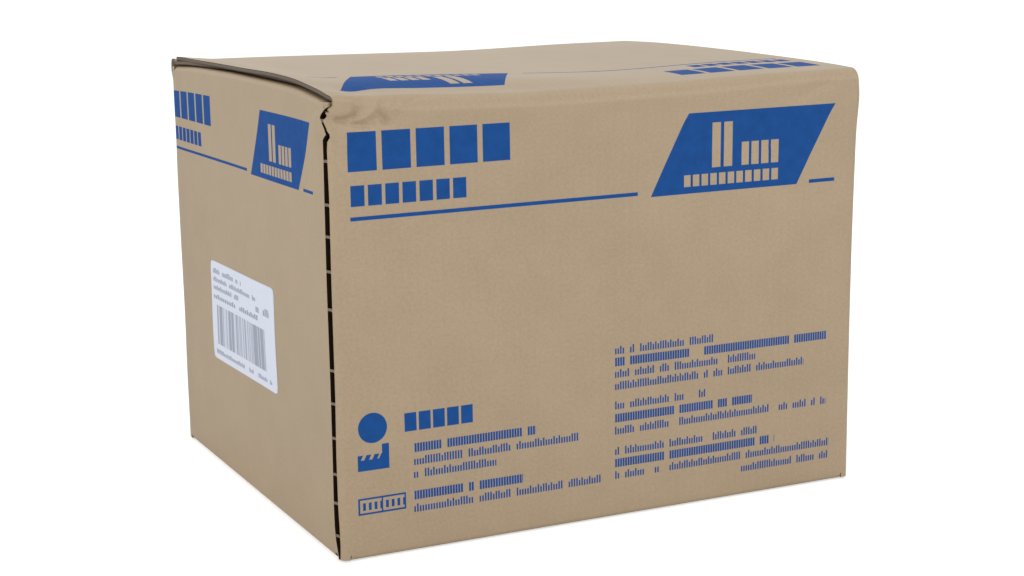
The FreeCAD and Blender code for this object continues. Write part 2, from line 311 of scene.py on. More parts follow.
def mark(left, right, bottom, top, pitch, fill, left_out, level, lean, cell):
    slant = max(0.0, lean * (top - bottom))
    cell = cell or (left - CLEAR, right + slant + CLEAR, bottom - CLEAR, top + CLEAR)
    return (left, right, bottom), (top, pitch, fill), (left_out, level), lean, cell


def bar(left, right, bottom, top, lean=0.0, cell=None):
    return mark(left, right, bottom, top, WHOLE, 1.0, NONE_OUT, 1.0, lean, cell)


def blocks(left, right, bottom, top, pitch, fill, cell=None):
    return mark(left, right, bottom, top, pitch, fill, NONE_OUT, 1.0, 0.0, cell)


def text(left, right, bottom, bold=False):
    size, fill, level = (3.3, 0.76, 1.0) if bold else (3.1, 0.60, 0.0)
    return mark(left, right, bottom, bottom + size, LETTER_PITCH, fill, LETTERS_OUT, level, 0.0, None)


HEADER_INK = (
    bar(196.0, 207.7, 121.4, 122.8), bar(126.4, 190.4, 121.4, 152.6, lean=16.4 / 31.2),
    bar(7.2, 120.9, 122.3, 123.7), blocks(6.8, 70.8, 139.4, 153.7, 12.81, 0.84),
    blocks(7.5, 52.5, 127.3, 134.6, 6.45, 0.80))
HEADER_BARE = (
    blocks(153.0, 163.0, 130.6, 147.6, 5.2, 0.72), blocks(166.0, 183.0, 130.6, 139.4, 4.3, 0.74),
    blocks(140.8, 182.4, 124.0, 128.4, 3.84, 0.74))
LOWER_INK = (
    bar(7.1, 17.5, 32.6, 38.4, cell=(6.7, 16.4, 32.2, 38.8)),
    bar(15.4, 19.1, 32.6, 41.8, cell=(16.4, 19.5, 32.2, 42.2)),
    bar(6.8, 25.2, 16.4, 22.6), blocks(25.3, 52.8, 44.9, 51.7, 5.55, 0.84),
    text(28.9, 77.6, 36.9, True), text(28.6, 97.6, 32.1), text(28.4, 61.3, 27.3),
    text(28.5, 72.0, 19.2, True), text(28.3, 104.7, 14.5),
    text(111.0, 155.6, 63.2), text(111.0, 207.0, 58.6, True), text(110.9, 173.0, 54.2),
    text(110.9, 195.4, 49.5), text(110.9, 150.8, 42.0), text(110.9, 171.8, 36.9, True),
    text(110.8, 206.2, 32.2), text(110.8, 174.3, 24.2), text(110.8, 182.3, 19.4, True),
    text(110.8, 208.1, 14.8), text(167.0, 208.7, 9.6))
LOWER_BARE = (
    mark(8.3, 15.2, 36.6, 38.8, 3.1, 0.40, NONE_OUT, 1.0, 0.5, (6.7, 16.4, 36.2, 39.2)),
    blocks(7.5, 24.7, 17.1, 18.4, 8.85, 0.93, cell=(6.4, 25.6, 16.0, 18.1)),
    blocks(7.5, 24.7, 17.7, 21.2, 2.2, 0.50, cell=(6.4, 25.6, 18.1, 20.8)),
    blocks(7.5, 24.7, 20.5, 21.9, 8.85, 0.93, cell=(6.4, 25.6, 20.8, 23.0)))
FAR = Vector((-1.0, -1.0))
SEED_FIRST, SEED_STEP = 11.0, 41


def sheet_lines(sheets, axis):
    """Lines that the blank needs so that no face carries two marks."""
    lines = []
    for bounds, origin, scale, inks, bares in sheets:
        for *_, cell in (*inks, *bares):
            places = [origin[axis] + side / scale[axis] for side in cell[2 * axis:2 * axis + 2]]
            lines += [place for place in places if bounds[2 * axis] < place < bounds[2 * axis + 1]]
    return lines


def print_on(piece, sheets):
    """Gives each face the mark that it carries and the place on the print that it shows."""
    mesh = piece.data
    places = mesh.uv_layers.new(name="print")
    values = {f"{layer}_{part}": [0.0] * (3 * len(mesh.polygons))
              for layer in ("ink", "bare") for part in ("sides", "blocks", "chance", "lean")}
    for face in mesh.polygons:
        x, y, _ = face.center
        found = next((sheet for sheet in sheets
                      if sheet[0][0] < x < sheet[0][1] and sheet[0][2] < y < sheet[0][3]), None)
        for loop in face.loop_indices:
            places.data[loop].uv = FAR
            if found:
                co = mesh.vertices[mesh.loops[loop].vertex_index].co
                _, origin, scale, _, _ = found
                places.data[loop].uv = [(co[i] - origin[i]) * scale[i] * MM for i in (0, 1)]
        if not found:
            continue
        _, origin, scale, inks, bares = found
        x, y = (x - origin[0]) * scale[0], (y - origin[1]) * scale[1]
        at = slice(3 * face.index, 3 * face.index + 3)
        for layer, marks in (("ink", inks), ("bare", bares)):
            for number, (sides, rows, chance, lean, cell) in enumerate(marks):
                if cell[0] < x < cell[1] and cell[2] < y < cell[3]:
                    values[f"{layer}_sides"][at] = sides
                    values[f"{layer}_blocks"][at] = rows
                    values[f"{layer}_chance"][at] = (SEED_FIRST + SEED_STEP * number, *chance)
                    values[f"{layer}_lean"][at] = (lean, 0, 0)
                    break
    for name, numbers in values.items():
        mesh.attributes.new(name, "FLOAT_VECTOR", "FACE").data.foreach_set("vector", numbers)


# Ways to build the materials: a node with its inputs, a Math node, a node group.
def add(tree, kind, inputs=None, **settings):
    """New node, its settings made and its inputs given as values or wired from sockets."""
    made = tree.nodes.new(kind)
    for name, value in settings.items():
        setattr(made, name, value)
    for name, value in (inputs or {}).items():
        if isinstance(value, bpy.types.NodeSocket):
            tree.links.new(value, made.inputs[name])
        else:
            made.inputs[name].default_value = value
    return made


def calc(tree, operation, *values, clamp=False):
    """Result of a Math node."""
    made = add(tree, "ShaderNodeMath", dict(enumerate(values)), operation=operation, use_clamp=clamp)
    return made.outputs[0]


def edge(tree, ahead, behind):
    """1 where the first value is ahead of the second, with a step 0.2 mm soft."""
    return calc(tree, "MULTIPLY_ADD", calc(tree, "SUBTRACT", ahead, behind), 5.0, 0.5, clamp=True)


def scaled(tree, vector, by):
    return add(tree, "ShaderNodeVectorMath", {0: vector, "Scale": by}, operation="SCALE").outputs[0]


def noise_of(tree, place, scale, detail, roughness=0.5):
    return add(tree, "ShaderNodeTexNoise", {
        "Vector": place, "Scale": scale, "Detail": detail, "Roughness": roughness}).outputs[0]


def blend_of(tree, share, first, second):
    """Mix of two colours."""
    return add(tree, "ShaderNodeMix", {0: share, 6: first, 7: second}, data_type="RGBA").outputs[2]


def split(tree, vector):
    return add(tree, "ShaderNodeSeparateXYZ", {0: vector}).outputs


def new_group(name, inputs, outputs):
    """Node group with named sockets. Returns the tree, what it is given and what it gives."""
    tree = bpy.data.node_groups.new(name, "ShaderNodeTree")
    kinds = {"f": "NodeSocketFloat", "v": "NodeSocketVector", "c": "NodeSocketColor"}
    for direction, sockets in (("INPUT", inputs), ("OUTPUT", outputs)):
        for label, kind in sockets.items():
            tree.interface.new_socket(name=label, in_out=direction, socket_type=kinds[kind])
    return tree, add(tree, "NodeGroupInput").outputs, add(tree, "NodeGroupOutput").inputs


def use_group(tree, name, inputs):
    """Outputs of a node group placed in a tree."""
    made = add(tree, "ShaderNodeGroup", node_tree=bpy.data.node_groups[name])
    for label, value in inputs.items():
        if isinstance(value, bpy.types.NodeSocket):
            tree.links.new(value, made.inputs[label])
        else:
            made.inputs[label].default_value = value
    return made.outputs


def new_material(name, roughness=0.9):
    made = bpy.data.materials.new(name)
    made.use_nodes = True
    tree = made.node_tree
    tree.nodes.clear()
    shader = add(tree, "ShaderNodeBsdfPrincipled", {"Roughness": roughness})
    add(tree, "ShaderNodeOutputMaterial", {"Surface": shader.outputs[0]})
    return made, tree, shader


def sheet_place(tree, layer):
    """Place on a flat sheet in millimetres."""
    return scaled(tree, add(tree, "ShaderNodeUVMap", uv_map=layer).outputs[0], 1000.0)


# A row of printed blocks between two sides, standing at a height, perhaps leaning.
tree, given, result = new_group(
    "printed_blocks", {"Place": "v", "Sides": "v", "Blocks": "v", "Chance": "v", "Lean": "v"},
    {"Mask": "f"})
across, upward, _ = split(tree, given["Place"])
left, right, bottom = split(tree, given["Sides"])
top, pitch, fill = split(tree, given["Blocks"])
seed, left_out, level = split(tree, given["Chance"])
rise = calc(tree, "SUBTRACT", upward, bottom)
leaned = calc(tree, "SUBTRACT", across, calc(tree, "MULTIPLY", rise, split(tree, given["Lean"])[0]))
inside = calc(tree, "MULTIPLY", edge(tree, leaned, left), edge(tree, right, leaned))
count = calc(tree, "DIVIDE", calc(tree, "SUBTRACT", leaned, left), calc(tree, "MAXIMUM", pitch, 0.01))
which = calc(tree, "ADD", calc(tree, "FLOOR", count), seed)
pair = calc(tree, "ADD", calc(tree, "FLOOR", calc(tree, "MULTIPLY", count, 0.5)), seed)
chance = add(tree, "ShaderNodeTexWhiteNoise", {"W": pair}, noise_dimensions="1D").outputs["Value"]
shown = calc(tree, "MAXIMUM", calc(tree, "GREATER_THAN", chance, left_out),
             calc(tree, "LESS_THAN", count, 2.0))
body = calc(tree, "MULTIPLY_ADD", calc(tree, "MULTIPLY", calc(
    tree, "SUBTRACT", fill, calc(tree, "FRACT", count)), pitch), 6.0, 0.5, clamp=True)
second = add(tree, "ShaderNodeTexWhiteNoise", {"W": calc(tree, "ADD", which, 37.3)},
             noise_dimensions="1D")
tall = calc(tree, "MAXIMUM", calc(tree, "GREATER_THAN", second.outputs["Value"], 0.55), level)
height = calc(tree, "MULTIPLY", calc(tree, "SUBTRACT", top, bottom),
              calc(tree, "MULTIPLY_ADD", tall, 0.28, 0.72))
between = calc(tree, "MULTIPLY", edge(tree, rise, 0.0), edge(tree, height, rise))
mask = calc(tree, "MULTIPLY", calc(tree, "MULTIPLY", inside, between), calc(tree, "MULTIPLY", shown, body))
tree.links.new(mask, result["Mask"])

# Kraft liner: pressed brown fibre, a little cloudy, with pale and dark flecks and faint flute lines.
FLUTE_PITCH = 3.3
tree, given, result = new_group(
    "kraft", {"Place": "v", "Color": "c"}, {"Color": "c", "Roughness": "f", "Height": "f"})
place = given["Place"]
fibre = noise_of(tree, place, 0.9, 4.0, 0.62)
cloud = noise_of(tree, place, 0.055, 3.0, 0.6)
wide = noise_of(tree, place, 0.012, 1.0)
strands = add(tree, "ShaderNodeMapping", {
    "Vector": place, "Rotation": (0, 0, 0.5), "Scale": (0.5, 2.4, 1.0)})
fleck = noise_of(tree, strands.outputs[0], 0.8, 1.0)
pale = calc(tree, "MULTIPLY_ADD", calc(tree, "SUBTRACT", fleck, 0.68), 9.0, 0.0, clamp=True)
dark = calc(tree, "MULTIPLY_ADD", calc(tree, "SUBTRACT", 0.31, fleck), 9.0, 0.0, clamp=True)
flute = calc(tree, "SINE", calc(tree, "MULTIPLY", split(tree, place)[0], 2 * math.pi / FLUTE_PITCH))
tone = 1.0
for value, mean, amount in (
        (fibre, 0.5, 0.34), (cloud, 0.5, 0.16), (wide, 0.5, 0.12), (flute, 0.0, 0.006),
        (calc(tree, "SUBTRACT", pale, dark), 0.0, 0.09)):
    tone = calc(tree, "MULTIPLY_ADD", calc(tree, "SUBTRACT", value, mean), amount, tone)
tree.links.new(scaled(tree, given["Color"], tone), result["Color"])
tree.links.new(calc(tree, "MULTIPLY_ADD", fibre, 0.2, 0.36), result["Roughness"])
tree.links.new(calc(tree, "MULTIPLY", calc(tree, "ADD", flute, fibre), 0.10), result["Height"])

KRAFT, KRAFT_INSIDE = (0.445, 0.335, 0.212, 1), (0.43, 0.325, 0.21, 1)
INK = (0.014, 0.083, 0.30)
DISC_PLACE, DISC_RADIUS = (13.1, 48.0, 0.0), 5.5


def board_material(name, color, printed, disc=False):
    """Kraft board, with the blue ink laid where the faces' marks say."""
    made, tree, shader = new_material(name)
    place = sheet_place(tree, "blank")
    kraft = use_group(tree, "kraft", {"Place": place, "Color": color})
    tint, rough = kraft["Color"], kraft["Roughness"]
    if printed:
        spot = sheet_place(tree, "print")
        masks = []
        for layer in ("ink", "bare"):
            marks = {}
            for part in ("sides", "blocks", "chance", "lean"):
                read = add(tree, "ShaderNodeAttribute", attribute_name=f"{layer}_{part}")
                marks[part.capitalize()] = read.outputs["Vector"]
            masks.append(use_group(tree, "printed_blocks", {"Place": spot, **marks})["Mask"])
        mask = calc(tree, "SUBTRACT", *masks, clamp=True)
        if disc:
            off = add(tree, "ShaderNodeVectorMath", {0: spot, 1: DISC_PLACE}, operation="DISTANCE")
            mask = calc(tree, "MAXIMUM", mask, edge(tree, DISC_RADIUS, off.outputs["Value"]))
        patch = noise_of(tree, place, 0.22, 3.0)
        grain = noise_of(tree, place, 2.2, 2.0)
        thin = calc(tree, "MULTIPLY_ADD", calc(tree, "SUBTRACT", grain, 0.66), 1.2, 0.01, clamp=True)
        cover = calc(tree, "MULTIPLY", mask, calc(tree, "SUBTRACT", 1.0, thin))
        ink = scaled(tree, INK, calc(tree, "MULTIPLY_ADD", patch, 0.4, 0.8))
        tint = blend_of(tree, cover, tint, ink)
        rough = calc(tree, "MULTIPLY_ADD", cover, 0.15, rough)
        tree.links.new(calc(tree, "MULTIPLY_ADD", cover, -0.44, 0.5), shader.inputs["Specular IOR Level"])
    tree.links.new(tint, shader.inputs["Base Color"])
    tree.links.new(rough, shader.inputs["Roughness"])
    bump = add(tree, "ShaderNodeBump", {"Strength": 0.35, "Distance": 0.0003, "Height": kraft["Height"]})
    tree.links.new(bump.outputs[0], shader.inputs["Normal"])
    return made


front_board = board_material("front_board", KRAFT, True, disc=True)
inside_board = board_material("inside_board", KRAFT_INSIDE, False)

# Cut edges. Along the flutes the edge shows the liners and a torn brown middle. Across them it
# shows the wave of the fluting between the liners.
LINER_EDGE = (0.40, 0.31, 0.21, 1)
cut_edge, tree, shader = new_material("cut_edge")
across = split(tree, add(tree, "ShaderNodeUVMap", uv_map="ply").outputs[0])[1]
off_middle = calc(tree, "ABSOLUTE", calc(tree, "SUBTRACT", across, 0.5))
liner = calc(tree, "MULTIPLY_ADD", calc(tree, "SUBTRACT", off_middle, 0.30), 8.0, 0.0, clamp=True)
ragged = noise_of(tree, sheet_place(tree, "ply"), 0.7, 3.0)
# The liners' lines are painted dark brown: painted shade on the liners' cut ends.
tint = blend_of(tree, liner, (0.155, 0.122, 0.092, 1), (0.055, 0.040, 0.028, 1))
tint = scaled(tree, tint, calc(tree, "MULTIPLY_ADD", ragged, 0.6, 0.7))
tree.links.new(tint, shader.inputs["Base Color"])

# The slit's cut edges, painted near black: painted shade deep in the slit at the corner.
painted_slit_shade, tree, shader = new_material("painted_slit_shade")
shader.inputs["Base Color"].default_value = (0.022, 0.012, 0.006, 1)
shader.inputs["Specular IOR Level"].default_value = 0.1
# The nicks' tabs, painted darker than the board: painted shade of their recess between the slit's edges.
shaded_nick_tab, tree, shader = new_material("shaded_nick_tab")
shader.inputs["Base Color"].default_value = (0.24, 0.175, 0.125, 1)

flute_end, tree, shader = new_material("flute_end")
along, across, _ = split(tree, add(tree, "ShaderNodeUVMap", uv_map="ply").outputs[0])
off_middle = calc(tree, "SUBTRACT", across, 0.5)
wave = calc(tree, "SINE", calc(tree, "MULTIPLY", along, 2000 * math.pi / FLUTE_PITCH))
off_wave = calc(tree, "ABSOLUTE", calc(tree, "MULTIPLY_ADD", wave, -0.29, off_middle))
medium = calc(tree, "MULTIPLY_ADD", calc(tree, "SUBTRACT", 0.10, off_wave), 16.0, 0.5, clamp=True)
liner = calc(tree, "MULTIPLY_ADD", calc(tree, "SUBTRACT", calc(
    tree, "ABSOLUTE", off_middle), 0.37), 20.0, 0.0, clamp=True)
# The hollows of the open flutes, between the fluting and the liners, are painted near black: painted shade
# inside the flutes.
tint = blend_of(tree, calc(tree, "MAXIMUM", medium, liner), (0.035, 0.022, 0.013, 1), LINER_EDGE)
tree.links.new(tint, shader.inputs["Base Color"])

# Wrinkles, each with its depth, its width and its line. Dents, each with its depth, reach and place.
WRINKLES = (
    (-1.50, 1.3, ((4.5, 158.7), (8.2, 158.6), (11.0, 159.3), (13.4, 160.8), (14.2, 164.2),
                  (14.9, 166.3), (16.3, 167.3))),
    (1.00, 1.6, ((12.4, 158.7), (15.4, 159.4), (18.8, 161.9), (21.2, 164.2), (22.4, 165.9))),
    (-0.80, 1.2, ((10.0, 157.5), (14.0, 156.5), (17.2, 156.1))),
    (-1.30, 1.5, ((24.7, 157.3), (23.3, 159.9), (22.3, 162.2), (23.6, 165.8))),
    (-0.80, 1.3, ((26.8, 164.9), (30.0, 166.6))),
    (-0.65, 1.3, ((31.9, 165.5), (35.5, 167.1), (38.4, 168.3))),
    (-0.60, 1.1, ((19.9, 158.9), (19.8, 155.9))),
    (0.55, 1.3, ((28.2, 163.8), (30.3, 165.1))),
    (-0.45, 1.4, ((176.0, 149.5), (179.5, 144.0), (181.0, 137.0))),
    (-0.50, 1.8, ((196.0, 157.0), (200.0, 160.5), (206.0, 163.5))),
)
DENTS = ((-1.0, 7.0, 17.0, 180.0), (-0.40, 4.6, 26.0, 158.0), (-0.30, 6.0, 178.0, 145.0),
         (0.35, 5.0, 10.5, 152.0), (-0.25, 9.0, 120.0, 158.0), (-0.22, 12.0, 70.0, 150.0))


def creased(along, up, wrinkles, dents):
    """How far handling has pushed the wall out (more) or in (less) at a point of the blank."""
    push = 0.0
    here = Vector((along, up))
    for depth, width, line in wrinkles:
        nearest = 1e9
        for start, end in zip(line, line[1:]):
            a, b = Vector(start), Vector(end)
            t = min(max((here - a).dot(b - a) / (b - a).length_squared, 0), 1)
            nearest = min(nearest, (here - a.lerp(b, t)).length)
        push += depth * math.exp(-((nearest / width) ** 2))
    for depth, reach, x, y in dents:
        push += depth * math.exp(-(((along - x) ** 2 + (up - y) ** 2) / reach**2))
    wander = noise.noise(Vector((along * 0.021, up * 0.027, 4.0)))
    return push + 0.35 * wander * smooth((up - 4) / 25) * smooth((156 - up) / 25)


# The outer flap reaches this far behind the middle of the top.
OUTER_FLAP_BACK = 88.5
# Its fold is sharper at the torn corner, and a little sharper at the right end.
TORN_SHOULDER, RIGHT_SHOULDER = 1.5, 4.2
TAB_RECESS = 0.8
FRONT_SEAM = RIGHT_START + 2.0
FREE_EDGE = OUTER_SKIN - SHOULDER + SHOULDER * math.pi / 2 + HALF_DEPTH + OUTER_FLAP_BACK - SHOULDER
FLOOR_FLAT = FOLD - FOLD * math.pi / 2
FLOOR_END = FLOOR_FLAT - (HALF_DEPTH - 0.5 - FOLD)
PRINT_LEFT = FRONT_START - CORNER
# On the flap the header stands upside down, measured from here.
LID_PRINT = (PRINT_LEFT + 217.6, 334.3)
front_sheets = (
    ((PRINT_LEFT, FRONT_END, 0, 158), (PRINT_LEFT, 0), (1, 1),
     HEADER_INK + LOWER_INK, HEADER_BARE + LOWER_BARE),
    ((PRINT_LEFT, FRONT_END, 178, 214), LID_PRINT, (-1, -1), HEADER_INK, HEADER_BARE))
nick_edges = sorted(z + side * NICK / 2 for z in NICKS for side in (-1, 1))
FLAP_LEFT, FLAP_RIGHT = 4.0, 221.1
# Thin slots part the strips that stand in the corners from the folded flap beside them.
LEFT_SLOT, RIGHT_SLOT = (6.6, 6.9), (217.5, 217.8)
BOTTOM_LEFT, BOTTOM_RIGHT = 10.212, 214.212
# How far the outer flap's left edge droops, from front to back.
DROOP = ((0, 0.5), (20, 0.4), (60, 0.2), (100, 0.7), (140, 0.6), (160, 0.3), (180, -0.4))
front_columns = ruled(merged(
    [SLIT_LEFT, SLIT_FRONT, FLAP_LEFT, *LEFT_SLOT, BOTTOM_LEFT, 40, BOTTOM_RIGHT, *RIGHT_SLOT,
     FLAP_RIGHT, FRONT_SEAM],
    sheet_lines(front_sheets, 0)), ((LEFT_SLOT[1], 0.55), (40, 1.0), (BOTTOM_RIGHT, 5.0), (OUT, 0.9)))
front_rows = ruled(merged(
    [FLOOR_END, -8, FLOOR_FLAT, STRIP_FOOT, FOLD, *nick_edges, 149.6, 161.2, CREASE, 172, FREE_EDGE],
    sheet_lines(front_sheets, 1)),
    ((-8, 9.0), (FLOOR_FLAT, 1.2), (FOLD, 0.5), (138, 3.0), (149.6, 1.0), (172, 0.65), (178, 1.5),
     (OUT, 5.0)))
front_windows = [(-OUT, SLIT_FRONT, low, high) for low, high in zip(
    (-OUT, *[z + NICK / 2 for z in NICKS]), (*[z - NICK / 2 for z in NICKS], OUT))]
front_windows += [
    (-OUT, FLAP_LEFT, CREASE, OUT), (FLAP_RIGHT, OUT, CREASE, OUT),
    (-OUT, LEFT_SLOT[0], -OUT, STRIP_FOOT), (*LEFT_SLOT, -OUT, FOLD),
    (-OUT, BOTTOM_LEFT, -OUT, FLOOR_FLAT),
    (RIGHT_SLOT[1], OUT, -OUT, STRIP_FOOT), (*RIGHT_SLOT, -OUT, FOLD),
    (BOTTOM_RIGHT, OUT, -OUT, FLOOR_FLAT)]
front_standing = ((-OUT, middle(LEFT_SLOT)), (middle(RIGHT_SLOT), OUT))
front_piece = die_cut("front_wall_and_outer_flap", front_columns, front_rows, front_windows)
print_on(front_piece, front_sheets)
for vertex in front_piece.data.vertices:
    along, up = vertex.co.xy
    low = 1 - smooth((up - CREASE) / 2)
    left_cut, front_cut = polyline(LEFT_CUT, up), polyline(FRONT_CUT, up)
    recess = 0.0
    if along < SLIT_FRONT - 0.01:
        # A nick's tab, pressed in between the slit's two edges.
        across = (along - SLIT_LEFT) / (SLIT_FRONT - SLIT_LEFT)
        along = mix(left_cut, front_cut, across)
        recess = -TAB_RECESS * math.sin(math.pi * across)
    else:
        along += (front_cut - SLIT_FRONT) * (1 - smooth((along - SLIT_FRONT) / 4)) * low
    radius = mix(TORN_SHOULDER, SHOULDER, smooth((along - 7) / 30))
    radius = mix(radius, RIGHT_SHOULDER, smooth((along - 150) / 60))
    reach = up + (SHOULDER - radius) * (2 - math.pi / 2) * smooth((up - 175) / 40)
    wall = (FRONT_START, FLAP_RIGHT, OUTER_SKIN, radius, 0.0, front_standing, ())
    place = Vector(folded(along, reach, wall))
    _, _, nx, ny = around(along)
    push = creased(along, up, WRINKLES, DENTS)
    push *= smooth((along - 4) / 3) * smooth((FRONT_END + 2 - along) / 5)
    over = smooth((up - 160) / 9)
    outward = Vector((nx * (1 - over), ny * (1 - over), over))
    place += outward * (push * smooth((240 - up) / 40) + recess)
    edge_near = 1 - smooth((place.x + HALF_WIDTH) / 7)
    place.z -= edge_near * eased(DROOP, place.y + HALF_DEPTH) * smooth((up - 160) / 5)
    # The flap's front left corner is drawn in a little where it turns over.
    place.x += 1.6 * edge_near * smooth((up - 163) / 1.5) * math.exp(-(((up - 165) / 4) ** 2))
    vertex.co = place * MM
front_finishes = (front_board, inside_board, cut_edge, flute_end, painted_slit_shade, shaded_nick_tab)
give_thickness(front_piece, front_finishes, (-OUT, SLIT_FRONT + 0.3))
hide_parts("outer_top_flap")
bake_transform(front_piece)

# The other walls with their flaps.
# The right wall ends in the glue lap, which turns the back corner and is glued behind the back
# wall's end. The inner top flap hinges at the back wall. The left wall ends in the cut-crease.
GLUE_LAP, SIDE_FLAP = 29, 85
LAP_END = BACK_START + GLUE_LAP
LAP_INSET = BOARD + 0.3
LAP_LOW, LAP_HIGH = 5.1, 158.9
SIDE_FLAP_END, SIDE_SLOT = 404, (403.925, 404.2)
SIDE_END = SIDE_SKIN - FOLD + FOLD * math.pi / 2 + SIDE_FLAP - FOLD
LOWER_END = FLOOR_FLAT - (SIDE_FLAP - FOLD)
side_board = board_material("side_board", KRAFT, True)
right_columns = ruled([FRONT_SEAM, 395, *SIDE_SLOT, BACK_START, LAP_END],
                      ((395, 4.0), (BACK_START, 1.0), (OUT, 6.0)))
right_rows = ruled(
    [LOWER_END, -12, FLOOR_FLAT, STRIP_FOOT, FOLD, LAP_LOW, 140, LAP_HIGH, CREASE, 166, SIDE_END],
    ((-12, 8.0), (FLOOR_FLAT, 1.0), (FOLD, 0.5), (140, 5.0), (CREASE, 1.6), (166, 0.5), (OUT, 6.0)))
right_windows = [
    (SIDE_SLOT[0], OUT, CREASE, OUT), (SIDE_SLOT[1], OUT, -OUT, STRIP_FOOT), (*SIDE_SLOT, -OUT, FOLD),
    (BACK_START, OUT, -OUT, LAP_LOW), (BACK_START, OUT, LAP_HIGH, OUT)]
right_wall = (RIGHT_START, SIDE_FLAP_END, SIDE_SKIN, FOLD, LAP_INSET, ((SIDE_FLAP_END, OUT),), ())
right_piece = die_cut("right_wall", right_columns, right_rows, right_windows)
# It carries no print, but needs the same layers as the piece that it is joined to.
print_on(right_piece, ())
for vertex in right_piece.data.vertices:
    along, up = vertex.co.xy
    place = Vector(folded(along, up, right_wall))
    x, y, nx, ny = around(along)
    if along > SIDE_FLAP_END:
        turned = smooth((along - SIDE_FLAP_END) / (BACK_START - SIDE_FLAP_END))
        place.x, place.y = x, y
        place -= Vector((nx, ny, 0)) * LAP_INSET * turned
    push = 0.5 * noise.noise(Vector((along * 0.02, up * 0.02, 9.0))) * smooth((up - 6) / 30)
    push *= smooth((150 - up) / 30) * smooth((along - FRONT_SEAM) / 20) * smooth((395 - along) / 20)
    vertex.co = (place + Vector((nx, ny, 0)) * push) * MM
side_finishes = (side_board, inside_board, cut_edge, flute_end, painted_slit_shade)
give_thickness(right_piece, side_finishes, (0, 0))

# The left wall's print is the front's header at about 0.85 of the size, cut at the back corner.
# The inner flap reaches this far in front of the middle of the top.
INNER_FLAP_FRONT = 88.0
INNER_END = INNER_SKIN - FOLD + FOLD * math.pi / 2 + HALF_DEPTH + INNER_FLAP_FRONT - FOLD
BACK_SEAM = BACK_START + 0.5
LEFT_END = AROUND + SLIT_LEFT
LEFT_DENTS = ((0.5, 8.0, 803.0, 150.0), (-0.35, 10.0, 790.0, 140.0), (0.4, 14.0, 640.0, 120.0))
LEFT_WRINKLES = ((-0.25, 1.4, ((800.0, 158.0), (804.0, 160.5), (808.0, 161.0))),)
# The print stands a little askew: it rises towards the front.
PRINT_RISE, PRINT_LEVEL_AT = 0.013, 735
PRINT_ORIGIN, PRINT_SCALE = (619.55, 32.86), (1 / 0.853, 1 / 0.794)
# The strips that stand in the corners reach this high above the crease. Thin slots part them, at
# the floor and at the top, from the folded flaps beside them.
CORNER_TOP = 163.9
INNER_FLAP_START = 412.637
BACK_SLOT, END_SLOT = (414.3, 414.637), (618.637, 618.97)
INNER_SLOT, CORNER_SLOT, SLIT_SLOT = (625.6, 626.0), (629.0, 629.35), (806.9, 807.3)
left_sheets = (((BACK_END, 806, 100, 160), PRINT_ORIGIN, PRINT_SCALE, HEADER_INK, HEADER_BARE),)
left_columns = ruled(merged(
    [BACK_SEAM, INNER_FLAP_START, *BACK_SLOT, 612, *END_SLOT, *INNER_SLOT, *CORNER_SLOT, 634, 784,
     804, *SLIT_SLOT, LEFT_END], sheet_lines(left_sheets, 0)),
    ((414.7, 0.9), (612, 6.0), (634, 1.0), (784, 4.0), (804, 1.0), (807, 0.5), (OUT, 0.2)))
left_rows = ruled(merged(
    [FLOOR_END, LOWER_END, -12, FLOOR_FLAT, STRIP_FOOT, FOLD, 138, 149.1, 150, CREASE, CORNER_TOP,
     167, 180, SIDE_END, INNER_END], sheet_lines(left_sheets, 1)),
    ((-12, 9.0), (FLOOR_FLAT, 1.0), (FOLD, 0.5), (138, 5.0), (149.1, 1.5), (167, 0.6), (180, 1.5),
     (OUT, 6.0)))
left_windows = [
    (-OUT, INNER_FLAP_START, CREASE, OUT), (*INNER_SLOT, CREASE, OUT),
    (INNER_SLOT[1], CORNER_SLOT[0], CORNER_TOP, OUT), (*CORNER_SLOT, CREASE, OUT),
    (*SLIT_SLOT, CREASE, OUT), (SLIT_SLOT[1], OUT, CORNER_TOP, OUT),
    (CORNER_SLOT[1], OUT, SIDE_END, OUT),
    (-OUT, BACK_SLOT[0], -OUT, STRIP_FOOT), (*BACK_SLOT, -OUT, FOLD), (*END_SLOT, -OUT, FOLD),
    (END_SLOT[1], CORNER_SLOT[0], -OUT, STRIP_FOOT), (*CORNER_SLOT, -OUT, FOLD),
    (CORNER_SLOT[1], OUT, -OUT, LOWER_END),
    (*SLIT_SLOT, -OUT, FOLD), (SLIT_SLOT[1], OUT, -OUT, STRIP_FOOT)]
corner_strip, slit_strip = (middle(END_SLOT), middle(CORNER_SLOT)), (middle(SLIT_SLOT), OUT)
back_wall = (BACK_START, OUT, INNER_SKIN, FOLD, 0.0, ((-OUT, middle(BACK_SLOT)), corner_strip), ())
left_wall = (LEFT_START, OUT, SIDE_SKIN, FOLD, LAP_INSET,
             (corner_strip, slit_strip), ((-OUT, middle(CORNER_SLOT)), slit_strip))
left_piece = die_cut("back_and_left_walls", left_columns, left_rows, left_windows)
print_on(left_piece, left_sheets)
